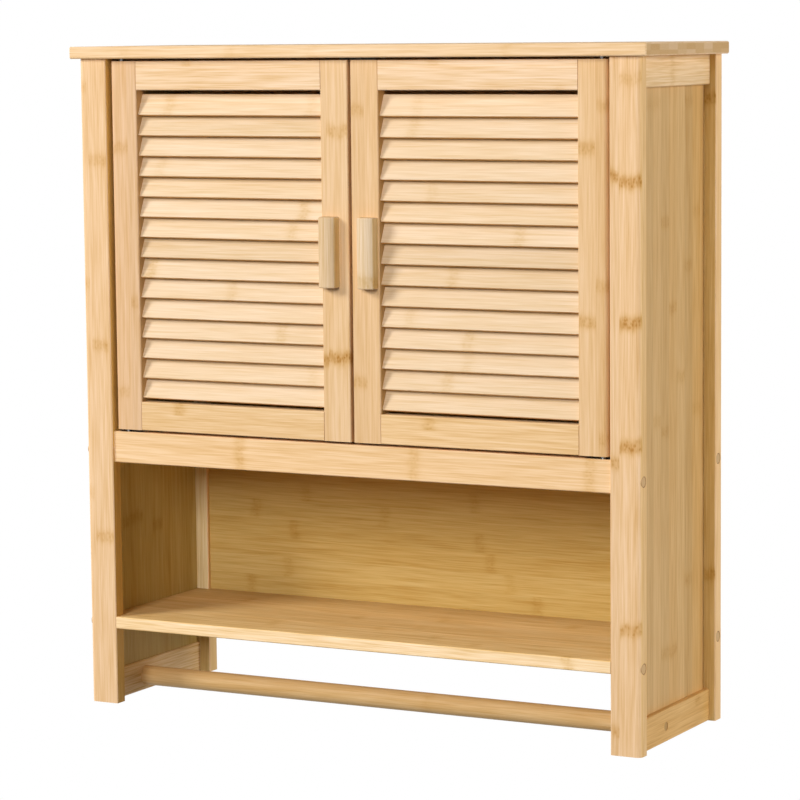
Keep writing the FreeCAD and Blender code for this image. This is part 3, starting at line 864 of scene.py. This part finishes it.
class CABINET_OT_doors(bpy.types.Operator):
    """Finish the stiles, rails and louvre slats of the doors"""

    bl_idname = "cabinet.doors"
    bl_label = "Doors"

    def execute(self, context):
        finish = context.scene.cabinet_finish
        stile = Grain(Z, X, strip=30 * MM, ply=6 * MM, contrast=0.8)
        # Painted shade: the stiles' edge faces round the louvre openings, which lie in shadow, are darker
        # and browner.
        right_edge_shade, left_edge_shade = ((StainAndPaintedLight(X, way, (0.82, 0.77, 0.58)),) for way in (1, -1))
        rail = Grain(X, Z, strip=30 * MM, start=-20 * MM, ply=6 * MM)
        left_hinge = ((-67, -269, -250, 0.35), (-220, -249, -241, 0.4), (-310, -269, -253, 0.3))
        left_meeting = ((-50, -25, -2, 0.5), (-267, -25, -1, 0.95), (-271, -31.5, -25, 0.9))
        right_meeting = ((-30, 2, 16, 0.4), (-290, 1, 17, 0.45))
        right_hinge = (
            (-25, 258, 270, 0.4),
            (-64, 240, 256.5, 0.65),
            (-190, 257, 270, 0.4),
            (-224, 240, 257, 0.6),
            (-332, 260, 270, 0.35),
        )
        right_top = ((90, 12, 18, 0.3), (220, -11, -6, 0.25))
        # Painted light: the top rails are paler and bluer to make up for the shadow of the top panel.
        top_rail_light = (1.10, 1.18, 1.37)
        grains = {
            "left_door_hinge_stile": replace(
                stile, start=-250 * MM, joints=left_hinge, cast=(0.93, 0.90, 0.92), faces=right_edge_shade
            ),
            "left_door_meeting_stile": replace(
                stile, start=-25 * MM, joints=left_meeting, faces=left_edge_shade
            ),
            "right_door_meeting_stile": replace(
                stile, start=17 * MM, joints=right_meeting, cast=(0.95, 0.92, 0.87), faces=right_edge_shade
            ),
            "right_door_hinge_stile": replace(
                stile, start=257 * MM, joints=right_hinge, cast=(0.98, 0.96, 0.92), faces=left_edge_shade
            ),
            "left_door_top_rail": replace(rail, joints=((-180, 12, 18, 0.3),), cast=top_rail_light),
            "right_door_top_rail": replace(rail, joints=right_top, cast=top_rail_light),
            "left_door_bottom_rail": replace(
                rail, joints=((-195, -332, -320, 0.5),), cast=(1.04, 1.05, 1.02)
            ),
            "right_door_bottom_rail": replace(
                rail, joints=((83, -333, -321, 0.5),), cast=(1.11, 1.13, 1.12)
            ),
        }
        finish_pieces(grains, finish.door_tone, seed=51)

        # Painted shade: the slats' lower edges, which face down into shadow, are darker and browner.
        painted_underside_shade = (StainAndPaintedLight(Z, -1, (0.86, 0.60, 0.26)),)
        louvre = Grain(X, Z, strip=20 * MM, contrast=0.75, patchwork=0.6, strength=0.5, faces=painted_underside_shade)
        left_slats = (
            (-205, 14, 14, 0.5),
            (-45, 14, 14, 0.3),
            (-215, 11, 11, 0.35),
            (-54, 9, 9, 0.8),
            (-68, 8, 8, 0.5),
            (-228, 6, 6, 0.8),
            (-137, 5, 5, 0.5),
            (-237, 4, 4, 0.3),
            (-81, 3, 3, 0.6),
            (-47, 1, 1, 0.3),
        )
        right_slats = (
            (70, 14, 14, 0.3),
            (66, 13, 13, 0.5),
            (85, 10, 10, 0.35),
            (175, 8, 8, 0.5),
            (106, 6, 6, 0.5),
            (60, 4, 4, 0.35),
            (122, 3, 3, 0.6),
            (120, 2, 2, 0.35),
            (100, 1, 1, 0.5),
        )
        left_shades = ((13, 13, 1, 0.04, 0.03), (7, 7, 1, 0.04, 0.03))
        right_shades = ((7, 7, 1, 0.06, 0.06), (6, 6, 1, 0.02, 0.03), (5, 5, 1, 0.0, 0.03))
        for seed, node, joints, shades in (
            (61, "left_door_slats", left_slats, left_shades),
            (62, "right_door_slats", right_slats, right_shades),
        ):
            grains = {node: replace(louvre, joints=joints, shades=shades)}
            finish_pieces(grains, finish.slat_tone, seed, slats=slat_rule(node))
        return {"FINISHED"}


class CABINET_OT_handles(bpy.types.Operator):
    """Finish the door handles"""

    bl_idname = "cabinet.handles"
    bl_label = "Handles"

    def execute(self, context):
        handle = Grain(Z, X, strip=40 * MM, strength=0.8)
        # Painted light and shade on the handles' right side faces: the left one lighter and greener, the
        # right one browner.
        left_painted_shading = (StainAndPaintedLight(X, 1, (1.19, 1.28, 1.08)),)
        right_painted_shading = (StainAndPaintedLight(X, 1, (1.08, 1.06, 0.81)),)
        grains = {
            "left_door_handle": replace(handle, cast=(0.90, 0.86, 0.80), faces=left_painted_shading),
            "right_door_handle": replace(
                handle, joints=((-193, 12, 30, 0.6),), cast=(1.03, 1.06, 1.14), faces=right_painted_shading
            ),
        }
        finish_pieces(grains, context.scene.cabinet_finish.handle_tone, seed=71)
        return {"FINISHED"}


class CABINET_OT_fittings(bpy.types.Operator):
    """Finish the steel, the catch and the plugs"""

    bl_idname = "cabinet.fittings"
    bl_label = "Fittings"

    def execute(self, context):
        finish = context.scene.cabinet_finish
        plated = steel("plated_steel", brightness=1.0)
        # The pivot pins take a darker steel.
        dark_steel = steel("dark_pin_steel", brightness=0.45)
        plastic = moulded("catch_plastic", finish.plastic_tone, roughness=0.45, grain_size=1.5 * MM)
        ferrite = moulded("catch_ferrite", finish.magnet_tone, roughness=0.6, grain_size=0.8 * MM)
        for node in ("frame_screws", "pivot_plates"):
            dress(node, plated)
        for side in SIDES:
            dress(f"{side}_door_pivot_pins", dark_steel)
            dress(f"{side}_door_strike_plate", plated)
        dress("catch_body", plastic)
        dress("catch_magnets", ferrite)
        low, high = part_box("frame_screw_plugs")
        radius = plug_radius()
        columns = (low.y + radius, high.y - radius)
        rows = (low.z + radius, high.z - radius)
        centres = [(y, z) for y in columns for z in rows]
        dress("frame_screw_plugs", plug_wood("plug_wood", finish.plug_tone, centres, radius))
        return {"FINISHED"}


def plug_radius():
    """The plugs' radius: the back plugs are centred on the back post, so their box gives it."""
    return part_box("frame_screw_plugs")[1].y - middle("right_back_post").y


def fastener_tree(name):
    """A geometry tree that puts a fastener's head on every point, facing the way that the point says."""
    corners = 20
    taper = 0.22
    groove_length = 1.2
    twist_seed = 5
    tree = bpy.data.node_groups.new(name, "GeometryNodeTree")
    tree.is_modifier = True
    tree.interface.new_socket("Points", in_out="INPUT", socket_type="NodeSocketGeometry")
    for label in ("Recess width", "Recess depth"):
        tree.interface.new_socket(label, in_out="INPUT", socket_type="NodeSocketFloat")
    tree.interface.new_socket("Finish", in_out="INPUT", socket_type="NodeSocketMaterial")
    tree.interface.new_socket("Heads", in_out="OUTPUT", socket_type="NodeSocketGeometry")
    bench = Bench(tree)
    start = tree.nodes.new("NodeGroupInput")
    points, width, depth, material = (Wire(bench, start.outputs[index]) for index in range(4))
    disc = bench.add("GeometryNodeMeshCylinder", None, {"Vertices": corners, "Radius": 1.0, "Depth": 1.0})
    disc = bench.add("GeometryNodeTransform", None, {"Geometry": disc, "Translation": (0, 0, 0.5)})
    x, y, z = bench.split(bench.add("GeometryNodeInputPosition"))
    drawn_in = 1 - bench.maths("GREATER_THAN", z, 0.5) * taper
    tapered = bench.vector(x * drawn_in, y * drawn_in, z)
    head = bench.add("GeometryNodeSetPosition", None, {"Geometry": disc, "Position": tapered})
    for breadth, run in ((width, groove_length), (groove_length, width)):
        groove = bench.add("GeometryNodeMeshCube", None, {"Size": bench.vector(breadth, run, depth * 2)})
        groove = bench.add(
            "GeometryNodeTransform", None, {"Geometry": groove, "Translation": (0, 0, 1)}
        )
        head = bench.add(
            "GeometryNodeMeshBoolean", {"operation": "DIFFERENCE"}, {"Mesh 1": head, "Mesh 2": groove}
        )

    def carried(label):
        """A vector that each point carries."""
        settings = {"data_type": "FLOAT_VECTOR"}
        return bench.add("GeometryNodeInputNamedAttribute", settings, {"Name": label})

    turn = bench.add("FunctionNodeAlignRotationToVector", {"axis": "Z"}, {"Vector": carried("facing")})
    spin = bench.add(
        "FunctionNodeRandomValue",
        {"data_type": "FLOAT"},
        {"Min": 0.0, "Max": math.pi / 2, "Seed": twist_seed},
        1,
    )
    twist = bench.add("FunctionNodeAxisAngleToRotation", None, {"Axis": (0, 0, 1), "Angle": spin})
    turn = bench.add(
        "FunctionNodeRotateRotation",
        {"rotation_space": "LOCAL"},
        {"Rotation": turn, "Rotate By": twist},
    )
    heads = bench.add(
        "GeometryNodeInstanceOnPoints",
        None,
        {"Points": points, "Instance": head, "Rotation": turn, "Scale": carried("size")},
    )
    heads = bench.add("GeometryNodeRealizeInstances", None, {"Geometry": heads})
    heads = bench.add("GeometryNodeSetMaterial", None, {"Geometry": heads, "Material": material})
    bench.add("NodeGroupOutput", None, {"Heads": heads})
    return tree


def add_heads(name, body, tree, seats, values):
    """Makes one body's fasteners as a plain mesh, from seats: place, facing and size.

    The values are those of the tree's named inputs.
    """
    mesh = bpy.data.meshes.new(name)
    mesh.from_pydata([place for place, facing, size in seats], [], [])
    for label, index in (("facing", 1), ("size", 2)):
        layer = mesh.attributes.new(label, "FLOAT_VECTOR", "POINT")
        layer.data.foreach_set("vector", [value for seat in seats for value in seat[index]])
    piece = bpy.data.objects.new(name, mesh)
    bpy.context.scene.collection.objects.link(piece)
    modifier = piece.modifiers.new("heads", "NODES")
    modifier.node_group = tree
    for item in tree.interface.items_tree:
        if item.in_out == "INPUT" and item.name in values:
            modifier[item.identifier] = values[item.name]
    evaluated = piece.evaluated_get(bpy.context.evaluated_depsgraph_get())
    heads = bpy.data.meshes.new_from_object(evaluated)
    piece.modifiers.clear()
    piece.data = heads
    if not heads.polygons:
        raise RuntimeError(f"{name} came out empty")
    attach(piece, body)


class CABINET_OT_screws(bpy.types.Operator):
    """Add the small screws of the handles, the catch, the strike plates and the pivot plates"""

    bl_idname = "cabinet.screws"
    bl_label = "Screws"

    def execute(self, context):
        catch_places = (0.3, 0.75)
        plate_inset = 20 * MM
        plate_thickness = 4 * MM
        hardware = context.scene.cabinet_hardware
        pan = (hardware.screw_radius, hardware.screw_radius, hardware.screw_rise)
        flush = (hardware.flush_radius, hardware.flush_radius, hardware.flush_rise)
        to_wall = (0, 1, 0)
        up = (0, 0, 1)
        down = (0, 0, -1)
        tree = fastener_tree("cross_head_screws")
        values = {
            "Recess width": hardware.recess_width,
            "Recess depth": hardware.recess_depth,
            "Finish": steel("screw_steel", brightness=0.9),
        }

        seats = []
        low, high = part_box("catch_body")
        for place in catch_places:
            seats.append(((0, low.y + place * (high.y - low.y), low.z), down, flush))
        low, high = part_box("pivot_plates")
        inner = high.x - plate_inset
        y = (low.y + high.y) / 2
        for x in (-inner, inner):
            seats.append(((x, y, low.z + plate_thickness), up, flush))
            seats.append(((x, y, high.z - plate_thickness), down, flush))
        add_heads("cabinet_screws", "cabinet", tree, seats, values)

        for side in SIDES:
            handle = middle(f"{side}_door_handle")
            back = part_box(f"{side}_door_meeting_stile")[1].y
            half = hardware.handle_screw_spacing / 2
            seats = [((handle.x, back, handle.z + offset), to_wall, pan) for offset in (-half, half)]
            strike = middle(f"{side}_door_strike_plate")
            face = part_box(f"{side}_door_strike_plate")[1].y
            seats.append(((strike.x, face, strike.z), to_wall, flush))
            add_heads(f"{side}_door_screws", f"{side}_door", tree, seats, values)
        return {"FINISHED"}


def towards(azimuth, elevation):
    """The way out from the cabinet: azimuth is 0 at the front and turns to the right, in degrees."""
    turn = math.radians(azimuth)
    rise = math.radians(elevation)
    return Vector((math.sin(turn) * math.cos(rise), -math.cos(turn) * math.cos(rise), math.sin(rise)))


class CABINET_OT_stage(bpy.types.Operator):
    """Set the camera, the lamps, the surround and the floor"""

    bl_idname = "cabinet.stage"
    bl_label = "Stage"

    def execute(self, context):
        scene = context.scene
        stage = scene.cabinet_stage
        scene.view_settings.view_transform = "Standard"
        self.add_camera(scene, stage)
        lamps = (
            ("front_lamp", towards(5, 17.5), stage.front_level, stage.front_size, True),
            ("key_lamp", towards(-40, 28), stage.key_level, stage.key_size, True),
            ("right_lamp", towards(98, 10), stage.right_level, stage.lamp_size, False),
            ("left_lamp", towards(-98, 10), stage.left_level, stage.lamp_size, False),
            ("back_lamp", towards(180, -8), stage.back_level, stage.lamp_size, False),
        )
        for name, direction, level, size, mirrored in lamps:
            lamp = self.add_lamp(scene, name, direction, stage.lamp_distance, level, size)
            lamp.visible_glossy = mirrored
        self.light_surround(scene, stage)
        self.lay_floor(scene, stage)
        return {"FINISHED"}

    def add_camera(self, scene, stage):
        data = bpy.data.cameras.new("camera")
        data.lens = stage.camera_lens
        data.sensor_width = stage.camera_sensor
        camera = bpy.data.objects.new("camera", data)
        scene.collection.objects.link(camera)
        turn = Matrix.Rotation(stage.camera_azimuth, 4, "Z")
        tilt = Matrix.Rotation(math.pi / 2 + stage.camera_pitch, 4, "X")
        roll = Matrix.Rotation(stage.camera_roll, 4, "Z")
        camera.matrix_world = Matrix.Translation(stage.camera_place) @ turn @ tilt @ roll
        scene.camera = camera

    def add_lamp(self, scene, name, direction, distance, level, size):
        """A square lamp that looks at the cabinet.

        Its watts follow from the level that it gives at its distance.
        """
        data = bpy.data.lights.new(name, "AREA")
        data.shape = "SQUARE"
        data.size = size
        data.energy = level * math.pi**2 * distance**2
        lamp = bpy.data.objects.new(name, data)
        scene.collection.objects.link(lamp)
        centre = (cad_box[0] + cad_box[1]) / 2
        lamp.location = centre + direction * distance
        lamp.rotation_mode = "QUATERNION"
        lamp.rotation_quaternion = (-direction).to_track_quat("-Z", "Y")
        return lamp

    def light_surround(self, scene, stage):
        """White to the eye and in reflections, and a dimmer soft light on everything else."""
        world = bpy.data.worlds.new("surround")
        world.use_nodes = True
        world.node_tree.nodes.clear()
        bench = Bench(world.node_tree)
        white = opaque(WHITE)
        dim = {"Color": white, "Strength": stage.surround_level}
        soft = bench.add("ShaderNodeBackground", None, dim)
        bright = bench.add("ShaderNodeBackground", None, {"Color": white, "Strength": 1.0})
        mixed = bench.add("ShaderNodeMixShader", None, {0: self.seen(bench), 1: soft, 2: bright})
        bench.add("ShaderNodeOutputWorld", None, {"Surface": mixed})
        scene.world = world

    def lay_floor(self, scene, stage):
        """A pale disc below the cabinet that takes its shadow and fades into the white surround."""
        corners = 96
        pale = shaded(WHITE, 0.9)
        bounced = shaded(WHITE, 0.25)
        near_glow = 0.7
        fade_start = 0.2
        level = cad_box[0].z - stage.floor_drop
        radius = stage.floor_radius
        turns = [math.tau * index / corners for index in range(corners)]
        rim = [(radius * math.cos(turn), radius * math.sin(turn), level) for turn in turns]
        mesh = bpy.data.meshes.new("floor")
        mesh.from_pydata(rim, [], [range(corners)])
        floor = bpy.data.objects.new("floor", mesh)
        scene.collection.objects.link(floor)
        material, bench = new_finish("pale_floor")
        x, y, z = bench.place()
        away = bench.maths("SQRT", x * x + y * y)
        faded = near_glow + bench.eased(away, radius * fade_start, radius) * (1 - near_glow)
        paint = bench.add("ShaderNodeBsdfDiffuse", None, {"Color": opaque(pale)})
        glow = bench.add("ShaderNodeEmission", None, {"Color": opaque(WHITE), "Strength": 1.0})
        to_eye = bench.add("ShaderNodeMixShader", None, {0: faded, 1: paint, 2: glow})
        bounce = bench.add("ShaderNodeBsdfDiffuse", None, {"Color": opaque(bounced)})
        mixed = bench.add("ShaderNodeMixShader", None, {0: self.seen(bench), 1: bounce, 2: to_eye})
        bench.add("ShaderNodeOutputMaterial", None, {"Surface": mixed})
        mesh.materials.append(material)

    def seen(self, bench):
        """One for rays from the eye, and for those that metal or glass sends on."""
        path = bench.add("ShaderNodeLightPath", None, None, "Is Camera Ray")
        outputs = path.socket.node.outputs
        mirrored = Wire(bench, outputs["Is Glossy Ray"])
        through = Wire(bench, outputs["Is Transmission Ray"])
        return bench.most(bench.most(path, mirrored), through)


STEPS = (
    CABINET_OT_stage,
    CABINET_OT_carcase,
    CABINET_OT_boards,
    CABINET_OT_panels,
    CABINET_OT_doors,
    CABINET_OT_handles,
    CABINET_OT_fittings,
    CABINET_OT_screws,
)
SETTINGS = {
    "cabinet_finish": CabinetFinish,
    "cabinet_hardware": CabinetHardware,
    "cabinet_stage": CabinetStage,
}


class CABINET_PT_steps(bpy.types.Panel):
    """The steps that dress the cabinet, with their sizes and colours"""

    bl_idname = "CABINET_PT_steps"
    bl_label = "Bamboo wall cabinet"
    bl_space_type = "VIEW_3D"
    bl_region_type = "UI"
    bl_category = "Cabinet"

    def draw(self, context):
        for step in STEPS:
            self.layout.operator(step.bl_idname)
        for name, group in SETTINGS.items():
            box = self.layout.box()
            for key in group.__annotations__:
                box.prop(getattr(context.scene, name), key)


def register():
    for group in SETTINGS.values():
        bpy.utils.register_class(group)
    for name, group in SETTINGS.items():
        setattr(bpy.types.Scene, name, PointerProperty(type=group))
    for step in STEPS:
        bpy.utils.register_class(step)
    bpy.utils.register_class(CABINET_PT_steps)


def unregister():
    bpy.utils.unregister_class(CABINET_PT_steps)
    for step in reversed(STEPS):
        bpy.utils.unregister_class(step)
    for name, group in SETTINGS.items():
        delattr(bpy.types.Scene, name)
        bpy.utils.unregister_class(group)


def main():
    """Dresses the cabinet step by step."""
    register()
    for step in STEPS:
        family, action = step.bl_idname.split(".")
        getattr(getattr(bpy.ops, family), action)()


if __name__ == "__main__":
    main()
